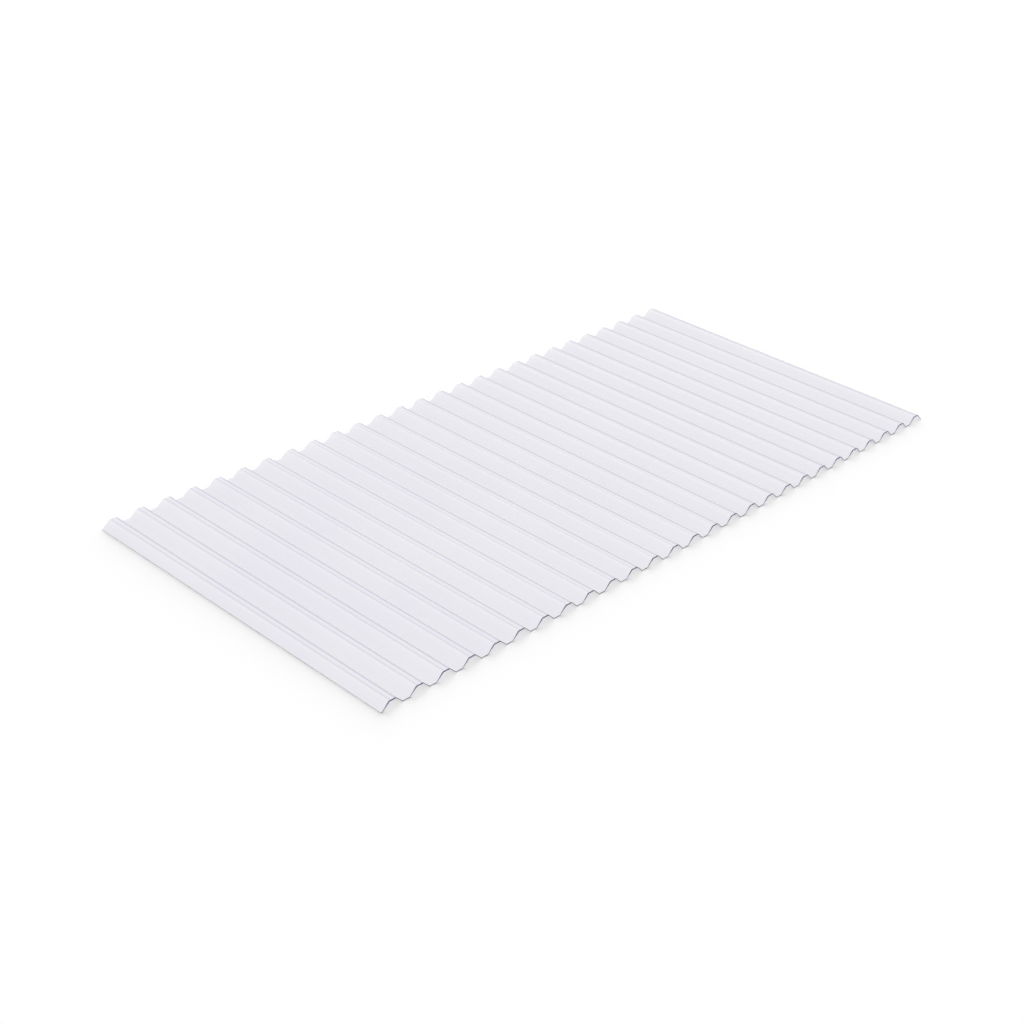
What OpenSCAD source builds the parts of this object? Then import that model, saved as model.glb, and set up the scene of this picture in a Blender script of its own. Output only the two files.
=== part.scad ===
// Corrugated polycarbonate roofing sheet.
// One clear sheet of even thickness, formed into trapezoidal waves. The ridges run
// along Y, the waves follow each other along X, and the valleys lie on z = 0.

/* [Sheet] */
// Number of waves side by side
wave_count = 27; // [2:1:40]
// Length of the sheet along its ridges
ridge_length = 950; // [200:10:3000]
// Thickness of the plastic
thickness = 1.2; // [0.8:0.1:2]
// Flat lip beyond the outermost bend, at each end of the row of waves
edge_lip = 2; // [1:0.5:15]

/* [Wave] */
// Distance from one crest to the next
pitch = 76; // [60:1:130]
// Depth of the profile, from the underside of a valley to the top of a crest
profile_depth = 18; // [10:0.5:30]
// Width of a crest between its two bend lines
crest_width = 19; // [12:0.5:24]
// Width of a valley between its two bend lines
valley_width = 20; // [12:0.5:24]
// Radius on the inner side of each bend
bend_radius = 3; // [1:0.5:5]

/* [Detail] */
// Straight steps that each bend is drawn with
bend_steps = 6; // [2:1:12]

/* [Hidden] */

// The waves are laid out on the sheet's centre line, midway between its two faces
centre_radius = bend_radius + thickness / 2;
low_z = thickness / 2;
high_z = profile_depth - thickness / 2;

// Each flank climbs from a valley's bend line to a crest's
flank_run = (pitch - crest_width - valley_width) / 2;
flank_angle = atan2(high_z - low_z, flank_run);

// A bend takes this much of the flat on either side of its bend line
bend_reach = centre_radius * tan(flank_angle / 2);

// The two outermost bend lines and the cut ends of the sheet
wave_foot = 2 * flank_run + crest_width;
foot_to_foot = (wave_count - 1) * pitch + wave_foot;
sheet_end = foot_to_foot / 2 + bend_reach + edge_lip;

// A bend is [centre x, centre z, turn, heading in, heading out]:
// turn is 1 where the sheet bends upwards, -1 where it bends downwards
function wave_bends(foot_x) = [
    [foot_x - bend_reach, low_z + centre_radius, 1, 0, flank_angle],
    [foot_x + flank_run + bend_reach, high_z - centre_radius, -1, flank_angle, 0],
    [foot_x + flank_run + crest_width - bend_reach, high_z - centre_radius, -1, 0, -flank_angle],
    [foot_x + wave_foot + bend_reach, low_z + centre_radius, 1, -flank_angle, 0]
];

// The arc that one face of the sheet follows round a bend; side is 1 on top, -1 below
function bend_arc(bend, side) = let (
    turn = bend[2],
    radius = centre_radius - side * turn * thickness / 2
) [
    for (step = [0:bend_steps])
        let (heading = bend[3] + (bend[4] - bend[3]) * step / bend_steps)
        [bend[0] + turn * radius * sin(heading), bend[1] - turn * radius * cos(heading)]
];

// One whole face of the sheet, from end to end
function face_line(side) = [
    [-sheet_end, low_z + side * thickness / 2],
    for (wave = [0:wave_count - 1])
        for (bend = wave_bends(wave * pitch - foot_to_foot / 2))
            each bend_arc(bend, side),
    [sheet_end, low_z + side * thickness / 2]
];

function reversed(points) = [for (i = [len(points) - 1:-1:0]) points[i]];

// The section across the ridges
module wave_section() {
    polygon(concat(face_line(1), reversed(face_line(-1))));
}

module corrugated_sheet() {
    color([0.93, 0.93, 0.97, 0.6])
        translate([0, ridge_length / 2, 0])
            rotate([90, 0, 0])
                linear_extrude(height = ridge_length)
                    wave_section();
}

corrugated_sheet();
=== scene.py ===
import math

import bmesh
import bpy
from mathutils import Matrix, Vector


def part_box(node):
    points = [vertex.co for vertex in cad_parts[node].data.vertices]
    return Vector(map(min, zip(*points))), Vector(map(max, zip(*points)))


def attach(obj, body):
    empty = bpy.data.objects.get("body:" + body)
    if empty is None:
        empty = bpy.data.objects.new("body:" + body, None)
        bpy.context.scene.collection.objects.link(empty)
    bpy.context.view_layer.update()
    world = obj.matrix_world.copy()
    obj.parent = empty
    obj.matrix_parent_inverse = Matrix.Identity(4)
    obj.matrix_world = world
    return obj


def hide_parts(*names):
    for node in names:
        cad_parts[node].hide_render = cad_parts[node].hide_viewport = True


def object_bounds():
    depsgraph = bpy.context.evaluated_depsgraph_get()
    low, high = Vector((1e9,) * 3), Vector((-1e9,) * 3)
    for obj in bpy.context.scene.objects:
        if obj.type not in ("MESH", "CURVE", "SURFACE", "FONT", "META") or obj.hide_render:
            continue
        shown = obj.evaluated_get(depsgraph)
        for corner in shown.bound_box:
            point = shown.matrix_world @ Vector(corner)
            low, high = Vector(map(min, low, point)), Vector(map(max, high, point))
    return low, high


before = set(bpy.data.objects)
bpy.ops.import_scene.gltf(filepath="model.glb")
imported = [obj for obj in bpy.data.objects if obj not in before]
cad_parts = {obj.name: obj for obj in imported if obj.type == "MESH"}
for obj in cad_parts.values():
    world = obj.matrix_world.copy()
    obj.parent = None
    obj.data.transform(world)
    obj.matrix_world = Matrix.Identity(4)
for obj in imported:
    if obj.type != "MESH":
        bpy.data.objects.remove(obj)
CAD_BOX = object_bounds()
SHEET_LOW, SHEET_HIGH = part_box("corrugated_sheet")

# One wave, in metres. The sheet's length, width and depth come from the frame.
PITCH = 0.076
CREST_WIDTH = 0.019
VALLEY_WIDTH = 0.020
THICKNESS = 0.0012
BEND_RADIUS = 0.003
BEND_SEGMENTS = 8
WAVES = round((SHEET_HIGH.x - SHEET_LOW.x) / PITCH)
FIRST_CREST = (SHEET_LOW.x + SHEET_HIGH.x) / 2 - (WAVES - 1) * PITCH / 2
MERGE_DISTANCE = 1e-5
CUT_DISTANCE = 1e-7
SIDE_FACING = 0.99
SHARP_ANGLE = math.radians(30)

# The camera's way round is counted from +Y towards +X, as the key light's is.
CAMERA_AZIMUTH = math.radians(228.6)
CAMERA_ELEVATION = math.radians(29.694)
CAMERA_ROLL = math.radians(4.04)
CAMERA_DISTANCE = 4.118
CAMERA_AIM = Vector((-0.2325, -0.0911, 0.0006))
CAMERA_LENS = 59.6

# A white tent. Its light is strongest from behind and to the right, so the shadows fall
# forwards and to the left, and a soft brighter panel behind shows in the bends.
TENT_LIGHT = 0.25
KEY_AZIMUTH = math.radians(57)
KEY_ELEVATION = math.radians(26)
KEY_SPREAD = math.radians(38)
KEY_GLOW = 9.05
PANEL_AZIMUTH = math.radians(16)
PANEL_GLOW = 0.9
# Where the panel begins and where it is full, as parts of a direction of length 1.
PANEL_SIDES = (0.42, 0.22)
PANEL_FOOT = (0.68, 0.76)
PANEL_TOP = (0.92, 0.84)

FLOOR_SIZE = 60.0
FLOOR_DROP = 0.0002
FLOOR_COLOUR = (0.965, 0.965, 0.965, 1)
# The even colour that the floor takes where it is seen through the sheet, and its share there.
FLOOR_THROUGH_SHEET = (0.875, 0.875, 0.875, 1)
EVEN_SHARE = 0.85


# ---------------------------------------------------------------- node helpers

def new_material(name):
    material = bpy.data.materials.new(name)
    material.use_nodes = True
    material.node_tree.nodes.clear()
    return material, material.node_tree


def add(tree, kind, inputs=None, **settings):
    """A node with its settings, and its inputs given as values or as sockets to link."""
    node = tree.nodes.new(kind)
    for key, value in settings.items():
        setattr(node, key, value)
    for key, value in (inputs or {}).items():
        if isinstance(value, bpy.types.NodeSocket):
            tree.links.new(value, node.inputs[key])
        else:
            node.inputs[key].default_value = value
    return node


def maths(tree, operation, *values):
    return add(tree, "ShaderNodeMath", dict(enumerate(values)), operation=operation).outputs[0]


def change(tree, value, places, amounts, kind="LINEAR"):
    """Goes from the first amount to the last as the value goes from the first place to the last."""
    ends = {0: value, 1: places[0], 2: places[1], 3: amounts[0], 4: amounts[1]}
    return add(tree, "ShaderNodeMapRange", ends, interpolation_type=kind).outputs[0]


def mix_colours(tree, factor, first, second, kind="MIX"):
    return add(tree, "ShaderNodeMix", {0: factor, 6: first, 7: second},
               data_type="RGBA", blend_type=kind).outputs[2]


def shade(tree, mask, colour):
    """White where the mask is 0, and towards the colour as it rises, for multiplying."""
    return mix_colours(tree, mask, (1, 1, 1, 1), (*colour, 1))


def times(tree, first, *others):
    """Colours multiplied together."""
    product = first
    for other in others:
        product = mix_colours(tree, 1.0, product, other, "MULTIPLY")
    return product


def new_group(name, inputs, outputs):
    """A shader node group with its sockets, and its two ends inside."""
    tree = bpy.data.node_groups.new(name, "ShaderNodeTree")
    for label, kind, value in inputs:
        socket = tree.interface.new_socket(label, in_out="INPUT", socket_type="NodeSocket" + kind)
        if value is not None:
            socket.default_value = value
    for label, kind in outputs:
        tree.interface.new_socket(label, in_out="OUTPUT", socket_type="NodeSocket" + kind)
    return tree, tree.nodes.new("NodeGroupInput"), tree.nodes.new("NodeGroupOutput")


def place(tree, group, **inputs):
    """The group placed in a material, its inputs named with underscores for spaces."""
    named = {key.replace("_", " "): value for key, value in inputs.items()}
    return add(tree, "ShaderNodeGroup", named, node_tree=group)


# ---------------------------------------------------------------- shared effects

def place_on_wave():
    """Where a point lies on the sheet, and how far to the right of the nearest crest's middle."""
    tree, start, end = new_group(
        "place_on_wave", [("Position", "Vector", None), ("Pitch", "Float", PITCH)],
        [("Off Crest", "Float"), ("Along Waves", "Float"), ("Along Ridge", "Float"), ("Height", "Float")])
    split = add(tree, "ShaderNodeSeparateXYZ", {0: start.outputs["Position"]})
    from_first = maths(tree, "SUBTRACT", split.outputs[0], FIRST_CREST)
    half = maths(tree, "DIVIDE", start.outputs["Pitch"], 2)
    off_crest = maths(tree, "WRAP", from_first, half, maths(tree, "MULTIPLY", half, -1))
    tree.links.new(off_crest, end.inputs["Off Crest"])
    tree.links.new(split.outputs[0], end.inputs["Along Waves"])
    tree.links.new(split.outputs[1], end.inputs["Along Ridge"])
    tree.links.new(split.outputs[2], end.inputs["Height"])
    return tree


def soft_line():
    """A soft-sided line: 1 in its middle, falling to 0 at its half width."""
    tree, start, end = new_group(
        "soft_line", [("Distance", "Float", 0), ("Middle", "Float", 0), ("Half Width", "Float", 0.003)],
        [("Mask", "Float")])
    aside = maths(tree, "SUBTRACT", start.outputs["Distance"], start.outputs["Middle"])
    apart = maths(tree, "ABSOLUTE", aside)
    fall = change(tree, apart, (0.0, start.outputs["Half Width"]), (1.0, 0.0), "SMOOTHSTEP")
    tree.links.new(fall, end.inputs["Mask"])
    return tree


def drawn_lines():
    """Fine marks as a height, longer along the ridges than across them by the stretch."""
    tree, start, end = new_group(
        "drawn_lines",
        [("Position", "Vector", None), ("Spacing", "Float", 0.004), ("Stretch", "Float", 60)],
        [("Height", "Float")])
    across = maths(tree, "DIVIDE", 1.0, start.outputs["Spacing"])
    along = maths(tree, "DIVIDE", across, start.outputs["Stretch"])
    size = add(tree, "ShaderNodeCombineXYZ", {0: across, 1: along, 2: across})
    stretched = add(tree, "ShaderNodeVectorMath", {
        0: start.outputs["Position"], 1: size.outputs[0]}, operation="MULTIPLY")
    noise = add(tree, "ShaderNodeTexNoise", {
        "Vector": stretched.outputs[0], "Scale": 1.0, "Detail": 3.0, "Roughness": 0.6})
    tree.links.new(noise.outputs["Fac"], end.inputs["Height"])
    return tree


def cloudy():
    """Broad soft patches, for tint that drifts and a surface that is not equally clean all over."""
    tree, start, end = new_group(
        "cloudy", [("Position", "Vector", None), ("Patch Size", "Float", 0.3)], [("Mask", "Float")])
    scale = maths(tree, "DIVIDE", 1.0, start.outputs["Patch Size"])
    noise = add(tree, "ShaderNodeTexNoise", {
        "Vector": start.outputs["Position"], "Scale": scale, "Detail": 2.0, "Roughness": 0.5})
    spread = change(tree, noise.outputs["Fac"], (0.35, 0.65), (0.0, 1.0), "SMOOTHSTEP")
    tree.links.new(spread, end.inputs["Mask"])
    return tree


def build_effects():
    return {"wave": place_on_wave(), "line": soft_line(), "drawn": drawn_lines(), "cloudy": cloudy()}


# ---------------------------------------------------------------- the clear sheet's colours

REFRACTIVE_INDEX = 1.58

# Colour of the clear sheet as a whole, and what its other places keep of it.
SHEET_TINT = (0.952, 0.944, 1.0)
# Painted shade: the tint of the dark lines on the crests and flanks.
PAINTED_SHADE_LINE_TINT = (0.585, 0.57, 0.675)
# Painted highlight: lightens the sheet's tint on the crest shoulders and in the valleys.
PAINTED_HIGHLIGHT_TINT = (1.027, 1.029, 1.008)
DRIFT_TINT = (0.980, 0.973, 0.996)
# Painted shade: the dark band just inside the sawn near end.
SAWN_BAND_PAINTED_SHADE_TINT = (0.10, 0.085, 0.22)
# What the sheet lets pass of light on its way to the floor.
PASSING_TINT = (0.880, 0.880, 0.887, 1)
SLANT_LOSS = 5.0

# The dark lines are painted shade. Each lies at a distance to the right of a crest's middle, and runs from
# its first strength or half width to its last between two places across the sheet.
RIGHT_LINE = 0.0102
RIGHT_LINE_HALF_WIDTH = ((-0.4, 0.9), (0.0066, 0.0125))
RIGHT_LINE_STRENGTH = ((-0.2, 0.9), (0.82, 0.70))
LEFT_LINE = -0.0055
LEFT_LINE_HALF_WIDTH = 0.0058
LEFT_LINE_STRENGTH = ((-0.8, 0.3), (0.30, 0.0))
FLANK_LINE = 0.0175
FLANK_LINE_HALF_WIDTH = 0.0115
FLANK_LINE_STRENGTH = ((-0.6, 0.3), (0.0, 0.32))

# The painted highlights: on each crest's left shoulder, and in the valleys.
SHOULDER_HIGHLIGHT = -0.0105
SHOULDER_HIGHLIGHT_HALF_WIDTH = 0.006
VALLEY_HIGHLIGHT_HALF_WIDTH = 0.012
VALLEY_HIGHLIGHT_STRENGTH = 0.6

# The tint drifts in patches, less towards the right. The band of painted shade inside the sawn end reaches
# in further from the floor up to the crests.
DRIFT_PATCH = 0.35
DRIFT_STRENGTH = ((-0.9, 0.3), (1.0, 0.25))
PAINTED_SHADE_BAND_DEPTH = (0.0002, 0.0025)

# The finish: the drawn lines, and the roughness of the clean sheet and what dull patches add to it.
DRAWN_SPACING = 0.005
RELIEF_DEPTH = 0.0001
DULL_PATCH = 0.12
CLEAN_ROUGHNESS = 0.012
DULL_ROUGHNESS = 0.035


def painted_shade_lines(tree, effects, on_wave):
    """Painted shade: the dark lines on each crest and down its right flank.

    They stand for light that the bends and the steep flanks take away, which shows too weakly by
    itself. The right line of a crest grows broader to the right, where the flank's line comes in,
    and the left line fades to the right."""
    off_crest = on_wave.outputs["Off Crest"]
    along = on_wave.outputs["Along Waves"]
    right = place(tree, effects["line"], Distance=off_crest, Middle=RIGHT_LINE,
                  Half_Width=change(tree, along, *RIGHT_LINE_HALF_WIDTH)).outputs["Mask"]
    left = place(tree, effects["line"], Distance=off_crest, Middle=LEFT_LINE,
                 Half_Width=LEFT_LINE_HALF_WIDTH).outputs["Mask"]
    flank = place(tree, effects["line"], Distance=off_crest, Middle=FLANK_LINE,
                  Half_Width=FLANK_LINE_HALF_WIDTH).outputs["Mask"]
    on_flank = maths(tree, "MULTIPLY", flank, change(tree, along, *FLANK_LINE_STRENGTH))
    both = maths(tree, "MULTIPLY_ADD", left, change(tree, along, *LEFT_LINE_STRENGTH), on_flank)
    return maths(tree, "MULTIPLY_ADD", right, change(tree, along, *RIGHT_LINE_STRENGTH), both)


def painted_highlights(tree, effects, on_wave):
    """Painted highlights: the tint lighter on the left shoulder of each crest, and in the valleys."""
    off_crest = on_wave.outputs["Off Crest"]
    shoulder = place(tree, effects["line"], Distance=off_crest, Middle=SHOULDER_HIGHLIGHT,
                     Half_Width=SHOULDER_HIGHLIGHT_HALF_WIDTH).outputs["Mask"]
    valley = place(tree, effects["line"], Distance=maths(tree, "ABSOLUTE", off_crest),
                   Middle=PITCH / 2, Half_Width=VALLEY_HIGHLIGHT_HALF_WIDTH).outputs["Mask"]
    return maths(tree, "MULTIPLY_ADD", valley, VALLEY_HIGHLIGHT_STRENGTH, shoulder)


def drifting_tint(tree, effects, position, on_wave):
    """Soft patches where the tint is deeper, weaker to the right."""
    patches = place(tree, effects["cloudy"], Position=position, Patch_Size=DRIFT_PATCH).outputs["Mask"]
    strength = change(tree, on_wave.outputs["Along Waves"], *DRIFT_STRENGTH)
    return maths(tree, "MULTIPLY", patches, strength)


def near_end_painted_shade(tree, on_wave):
    """Painted shade: a dark band just inside the sawn near end, deepest where the sheet stands clear of the
    floor.
    """
    inside = maths(tree, "SUBTRACT", on_wave.outputs["Along Ridge"], SHEET_LOW.y)
    depth = change(tree, on_wave.outputs["Height"], (0.0, SHEET_HIGH.z), PAINTED_SHADE_BAND_DEPTH)
    return maths(tree, "LESS_THAN", inside, depth)


def sheet_colour(tree, effects, position):
    on_wave = place(tree, effects["wave"], Position=position)
    # The sheet's tint, with painted shade in the dark lines and the band at the sawn near end, and painted
    # highlights on the shoulders and valleys.
    return times(tree, (*SHEET_TINT, 1),
                 shade(tree, painted_shade_lines(tree, effects, on_wave), PAINTED_SHADE_LINE_TINT),
                 shade(tree, painted_highlights(tree, effects, on_wave), PAINTED_HIGHLIGHT_TINT),
                 shade(tree, drifting_tint(tree, effects, position, on_wave), DRIFT_TINT),
                 shade(tree, near_end_painted_shade(tree, on_wave), SAWN_BAND_PAINTED_SHADE_TINT))


def sheet_finish(tree, effects, position):
    """Roughness and relief: fine drawn lines along the ridges, and patches that are less clean."""
    drawn = place(tree, effects["drawn"], Position=position, Spacing=DRAWN_SPACING).outputs["Height"]
    patches = place(tree, effects["cloudy"], Position=position, Patch_Size=DULL_PATCH).outputs["Mask"]
    dulled = maths(tree, "MULTIPLY", drawn, patches)
    roughness = maths(tree, "MULTIPLY_ADD", dulled, DULL_ROUGHNESS, CLEAN_ROUGHNESS)
    relief = add(tree, "ShaderNodeBump", {"Strength": 0.2, "Distance": RELIEF_DEPTH, "Height": drawn})
    return roughness, relief.outputs[0]


# ---------------------------------------------------------------- materials

# The cut faces. The sawn ends are dark, as painted shade, and the trimmed sides nearly clear.
CUT_ROUGHNESS = 0.35
CUT_MARK_ROUGHNESS = 0.3
# Painted shade: the sawn ends' near-black colour stands for the dark look that light caught inside the wall
# gives a cut face.
SAWN_END_PAINTED_SHADE = (0.012, 0.010, 0.055)
SAWN_END_PAINTED_SHADE_TOPS = (0.025, 0.0225, 0.07875)
SAWN_MARK_SPACING = 0.0006
TRIMMED_SIDE = (0.86, 0.85, 0.90)
TRIMMED_SIDE_TOPS = (1.0, 1.0, 1.0)
TRIM_MARK_SPACING = 0.0015
TRIMMED_CLEARNESS = 0.85


def passing_light(tree, path, tint):
    """The sheet for light on its way to the floor, which is weaker where it meets a wall at a slant,
    and for what is seen past the first face, which goes straight on and is tinted by every face.

    A wall has two faces, so one face's tint is the square root of the sheet's."""
    facing = add(tree, "ShaderNodeLayerWeight", {"Blend": 0.5}).outputs["Facing"]
    slanted = maths(tree, "POWER", facing, SLANT_LOSS)
    to_floor = mix_colours(tree, slanted, PASSING_TINT, (0, 0, 0, 1))
    lit_through = maths(tree, "MAXIMUM", path.outputs["Is Shadow Ray"], path.outputs["Is Diffuse Ray"])
    one_face = add(tree, "ShaderNodeGamma", {"Color": tint, "Gamma": 0.5}).outputs[0]
    colour = mix_colours(tree, lit_through, one_face, to_floor)
    passing = add(tree, "ShaderNodeBsdfTransparent", {"Color": colour})
    past_first_face = maths(tree, "GREATER_THAN", path.outputs["Transmission Depth"], 0.5)
    return passing, maths(tree, "MAXIMUM", lit_through, past_first_face)


def clear_polycarbonate(effects):
    material, tree = new_material("clear_polycarbonate")
    position = add(tree, "ShaderNodeTexCoord").outputs["Object"]
    roughness, relief = sheet_finish(tree, effects, position)
    tint = sheet_colour(tree, effects, position)
    surface = add(tree, "ShaderNodeBsdfPrincipled", {
        "Base Color": tint, "Roughness": roughness, "IOR": REFRACTIVE_INDEX,
        "Transmission Weight": 1.0, "Normal": relief})
    passing, factor = passing_light(tree, add(tree, "ShaderNodeLightPath"), tint)
    mix = add(tree, "ShaderNodeMixShader", {0: factor, 1: surface.outputs[0], 2: passing.outputs[0]})
    add(tree, "ShaderNodeOutputMaterial", {"Surface": mix.outputs[0]})
    return material


def cut_edge(name, effects, colour, lighter, mark_spacing, clearness):
    """A cut face with fine cutting marks, lighter on their tops, and clear from within."""
    material, tree = new_material(name)
    position = add(tree, "ShaderNodeTexCoord").outputs["Object"]
    marks = place(tree, effects["drawn"], Position=position, Spacing=mark_spacing,
                  Stretch=1.0).outputs["Height"]
    worn = mix_colours(tree, marks, (*colour, 1), (*lighter, 1))
    roughness = maths(tree, "MULTIPLY_ADD", marks, CUT_MARK_ROUGHNESS, CUT_ROUGHNESS)
    relief = add(tree, "ShaderNodeBump", {"Strength": 0.5, "Distance": RELIEF_DEPTH, "Height": marks})
    surface = add(tree, "ShaderNodeBsdfPrincipled", {
        "Base Color": worn, "Roughness": roughness, "IOR": REFRACTIVE_INDEX, "Specular IOR Level": 0.3,
        "Transmission Weight": clearness, "Normal": relief.outputs[0]})
    clear = add(tree, "ShaderNodeBsdfTransparent", {"Color": PASSING_TINT})
    inside = add(tree, "ShaderNodeNewGeometry").outputs["Backfacing"]
    mix = add(tree, "ShaderNodeMixShader", {0: inside, 1: surface.outputs[0], 2: clear.outputs[0]})
    add(tree, "ShaderNodeOutputMaterial", {"Surface": mix.outputs[0]})
    return material


def pale_floor():
    """White card, which keeps the shadows round the sheet and looks evenly lit through it."""
    material, tree = new_material("pale_floor")
    matt = add(tree, "ShaderNodeBsdfDiffuse", {"Color": FLOOR_COLOUR})
    even = add(tree, "ShaderNodeEmission", {"Color": FLOOR_THROUGH_SHEET, "Strength": 1.0})
    through = add(tree, "ShaderNodeLightPath").outputs["Is Transmission Ray"]
    share = maths(tree, "MULTIPLY", through, EVEN_SHARE)
    mix = add(tree, "ShaderNodeMixShader", {0: share, 1: matt.outputs[0], 2: even.outputs[0]})
    add(tree, "ShaderNodeOutputMaterial", {"Surface": mix.outputs[0]})
    return material


# ---------------------------------------------------------------- the sheet

# The sheet's material slots after the first, which is the clear sheet itself.
SAWN_SLOT = 1
SIDE_SLOT = 2


def one_wave(bm, length, rise):
    """One wave of the centre surface, from the middle of a valley to the middle of the next."""
    flank_run = (PITCH - CREST_WIDTH - VALLEY_WIDTH) / 2
    shoulder = CREST_WIDTH / 2
    foot = shoulder + flank_run
    stations = [(-PITCH / 2, 0), (-foot, 0), (-shoulder, rise), (shoulder, rise), (foot, 0), (PITCH / 2, 0)]
    line = [bm.verts.new((x, -length / 2, z)) for x, z in stations]
    edges = [bm.edges.new(pair) for pair in zip(line, line[1:])]
    grown = bmesh.ops.extrude_edge_only(bm, edges=edges)["geom"]
    far_side = [v for v in grown if isinstance(v, bmesh.types.BMVert)]
    bmesh.ops.translate(bm, verts=far_side, vec=(0, length, 0))
    bends = [e for e in bm.edges if len(e.link_faces) == 2]
    bend_angle = math.atan2(rise, flank_run)
    reach = (BEND_RADIUS + THICKNESS / 2) * math.tan(bend_angle / 2)
    bmesh.ops.bevel(bm, geom=bends, offset=reach, offset_type="OFFSET", affect="EDGES",
                    segments=BEND_SEGMENTS, profile=0.5, material=-1)


def row_of_waves(bm):
    """The first wave repeated at the pitch, and the copies joined."""
    first = bm.verts[:] + bm.edges[:] + bm.faces[:]
    for step in range(1, WAVES):
        copy = bmesh.ops.duplicate(bm, geom=first)["geom"]
        bmesh.ops.translate(bm, verts=[v for v in copy if isinstance(v, bmesh.types.BMVert)],
                            vec=(step * PITCH, 0, 0))
    bmesh.ops.remove_doubles(bm, verts=bm.verts[:], dist=MERGE_DISTANCE)


def sheet_surface(low, high):
    """The sheet's centre surface: a row of waves, cut off square at the frame's ends, facing up."""
    bm = bmesh.new()
    one_wave(bm, high.y - low.y, high.z - low.z - THICKNESS)
    row_of_waves(bm)
    start = Vector((FIRST_CREST, (low.y + high.y) / 2, low.z + THICKNESS / 2))
    bmesh.ops.translate(bm, verts=bm.verts[:], vec=start)
    for end, outwards in ((low, -1), (high, 1)):
        bmesh.ops.bisect_plane(bm, geom=bm.verts[:] + bm.edges[:] + bm.faces[:], dist=CUT_DISTANCE,
                               plane_co=(end.x, 0, 0), plane_no=(outwards, 0, 0), clear_outer=True)
    bmesh.ops.recalc_face_normals(bm, faces=bm.faces[:])
    if sum(face.normal.z * face.calc_area() for face in bm.faces) < 0:
        bmesh.ops.reverse_faces(bm, faces=bm.faces[:])
    return bm


def give_wall(sheet):
    """The centre surface made into a wall of the sheet's thickness, its rim in the sawn end's slot."""
    wall = sheet.modifiers.new("wall", "SOLIDIFY")
    wall.thickness = THICKNESS
    wall.offset = 0
    wall.use_even_offset = True
    wall.material_offset_rim = SAWN_SLOT
    bpy.context.view_layer.update()
    evaluated = sheet.evaluated_get(bpy.context.evaluated_depsgraph_get())
    solid = bpy.data.meshes.new_from_object(evaluated)
    sheet.modifiers.clear()
    sheet.data = solid
    solid.name = "clear_sheet"


def finish_faces(sheet):
    """The two trimmed sides get their own slot, and the bends are shaded smooth."""
    mesh = sheet.data
    for face in mesh.polygons:
        if abs(face.normal.x) > SIDE_FACING:
            face.material_index = SIDE_SLOT
    mesh.polygons.foreach_set("use_smooth", [True] * len(mesh.polygons))
    mesh.set_sharp_from_angle(angle=SHARP_ANGLE)
    shading = sheet.modifiers.new("shading", "WEIGHTED_NORMAL")
    shading.keep_sharp = True


def make_sheet(effects):
    bm = sheet_surface(SHEET_LOW, SHEET_HIGH)
    mesh = bpy.data.meshes.new("centre_surface")
    bm.to_mesh(mesh)
    bm.free()
    mesh.materials.append(clear_polycarbonate(effects))
    mesh.materials.append(cut_edge(
        "sawn_end_painted_shade", effects, SAWN_END_PAINTED_SHADE, SAWN_END_PAINTED_SHADE_TOPS, SAWN_MARK_SPACING, 0.0))
    mesh.materials.append(cut_edge(
        "trimmed_side", effects, TRIMMED_SIDE, TRIMMED_SIDE_TOPS, TRIM_MARK_SPACING, TRIMMED_CLEARNESS))
    sheet = bpy.data.objects.new("clear_sheet", mesh)
    bpy.context.scene.collection.objects.link(sheet)
    give_wall(sheet)
    finish_faces(sheet)
    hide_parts("corrugated_sheet")
    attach(sheet, "root")


# ---------------------------------------------------------------- stage, light and camera

def make_floor():
    mesh = bpy.data.meshes.new("floor")
    bm = bmesh.new()
    bmesh.ops.create_grid(bm, x_segments=1, y_segments=1, size=FLOOR_SIZE / 2,
                          matrix=Matrix.Translation((0, 0, CAD_BOX[0].z - FLOOR_DROP)))
    bm.to_mesh(mesh)
    bm.free()
    floor = bpy.data.objects.new("floor", mesh)
    bpy.context.scene.collection.objects.link(floor)
    mesh.materials.append(pale_floor())


def direction(azimuth, elevation):
    """The way out from the middle towards an azimuth, from +Y towards +X, and an elevation."""
    return Vector((math.sin(azimuth) * math.cos(elevation), math.cos(azimuth) * math.cos(elevation),
                   math.sin(elevation)))


def ramp(tree, value, places):
    """0 at the first place and 1 at the last, smooth between."""
    return change(tree, value, places, (0.0, 1.0), "SMOOTHSTEP")


def key_glow(tree, outwards):
    """The broad soft glow behind and to the right."""
    towards = direction(KEY_AZIMUTH, KEY_ELEVATION)
    facing = add(tree, "ShaderNodeVectorMath", {0: outwards, 1: towards}, operation="DOT_PRODUCT")
    return ramp(tree, facing.outputs["Value"], (math.cos(KEY_SPREAD), 1.0))


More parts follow.
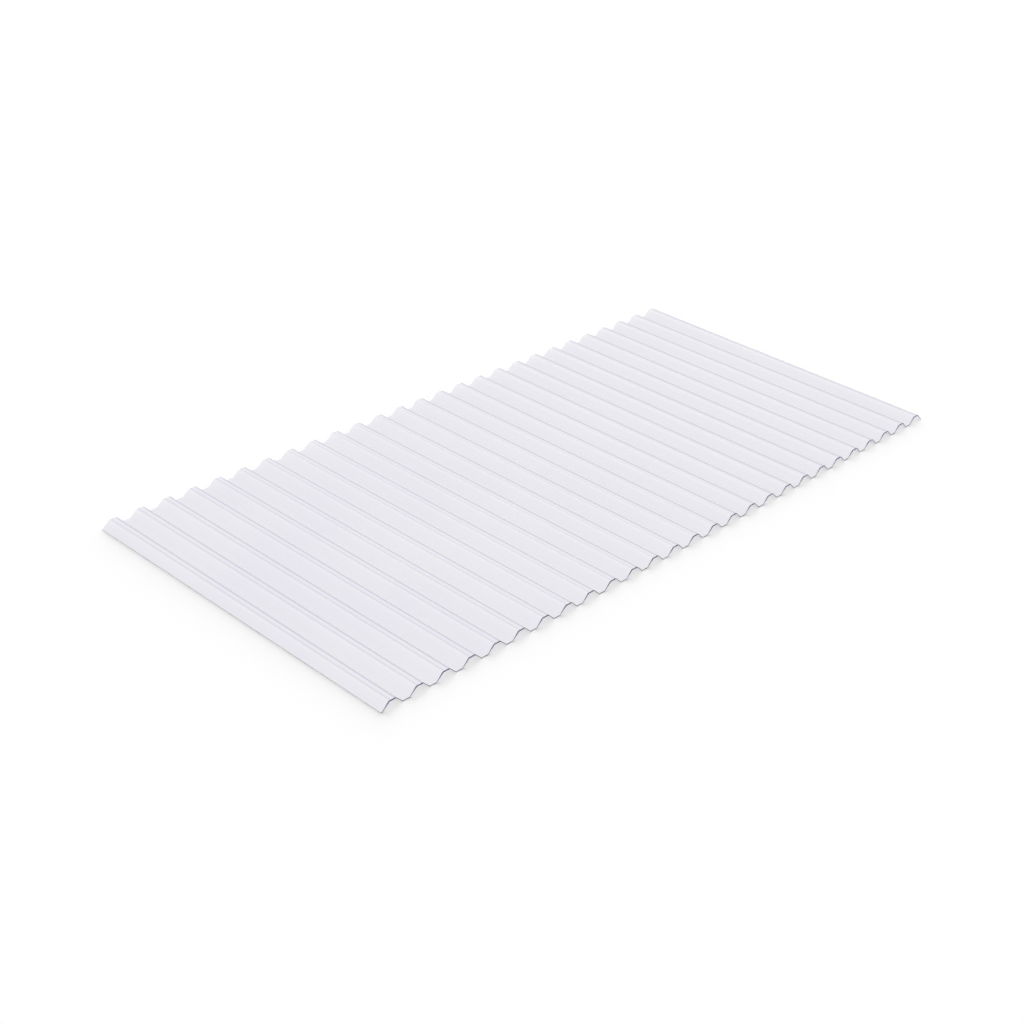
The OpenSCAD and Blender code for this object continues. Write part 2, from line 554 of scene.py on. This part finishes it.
def panel_glow(tree, outwards):
    """The wide soft-edged panel, high up behind."""
    turned = add(tree, "ShaderNodeVectorRotate", {
        "Vector": outwards, "Angle": PANEL_AZIMUTH}, rotation_type="Z_AXIS")
    split = add(tree, "ShaderNodeSeparateXYZ", {0: turned.outputs[0]})
    sideways = ramp(tree, maths(tree, "ABSOLUTE", split.outputs[0]), PANEL_SIDES)
    behind = maths(tree, "GREATER_THAN", split.outputs[1], 0.0)
    foot = ramp(tree, split.outputs[2], PANEL_FOOT)
    top = ramp(tree, split.outputs[2], PANEL_TOP)
    across = maths(tree, "MULTIPLY", sideways, behind)
    return maths(tree, "MULTIPLY", across, maths(tree, "MULTIPLY", foot, top))


def make_tent():
    """The world: a white tent, which is seen as plain white but for the panel, and which lights the
    sheet and the floor more from the key side."""
    world = bpy.data.worlds.new("white_tent")
    world.use_nodes = True
    tree = world.node_tree
    tree.nodes.clear()
    outwards = add(tree, "ShaderNodeTexCoord").outputs["Generated"]
    path = add(tree, "ShaderNodeLightPath")
    seen = maths(tree, "MAXIMUM", path.outputs["Is Camera Ray"], maths(
        tree, "MAXIMUM", path.outputs["Is Glossy Ray"], path.outputs["Is Transmission Ray"]))
    lighting = maths(tree, "MULTIPLY_ADD", key_glow(tree, outwards), KEY_GLOW, TENT_LIGHT)
    showing = maths(tree, "MULTIPLY_ADD", panel_glow(tree, outwards), PANEL_GLOW, 1.0)
    strength = change(tree, seen, (0.0, 1.0), (lighting, showing))
    sky = add(tree, "ShaderNodeBackground", {"Color": (1, 1, 1, 1), "Strength": strength})
    add(tree, "ShaderNodeOutputWorld", {"Surface": sky.outputs[0]})
    bpy.context.scene.world = world


def make_camera():
    data = bpy.data.cameras.new("camera")
    data.lens = CAMERA_LENS
    data.clip_start = 0.05
    data.clip_end = 200
    camera = bpy.data.objects.new("camera", data)
    bpy.context.scene.collection.objects.link(camera)
    back = direction(CAMERA_AZIMUTH, CAMERA_ELEVATION)
    level = (-back).to_track_quat("-Z", "Y").to_matrix().to_4x4()
    roll = Matrix.Rotation(CAMERA_ROLL, 4, "Z")
    camera.matrix_world = Matrix.Translation(CAMERA_AIM + back * CAMERA_DISTANCE) @ level @ roll
    bpy.context.scene.camera = camera


make_camera()
make_tent()
make_floor()
make_sheet(build_effects())
bpy.context.scene.view_settings.view_transform = "Standard"

bpy.context.view_layer.update()
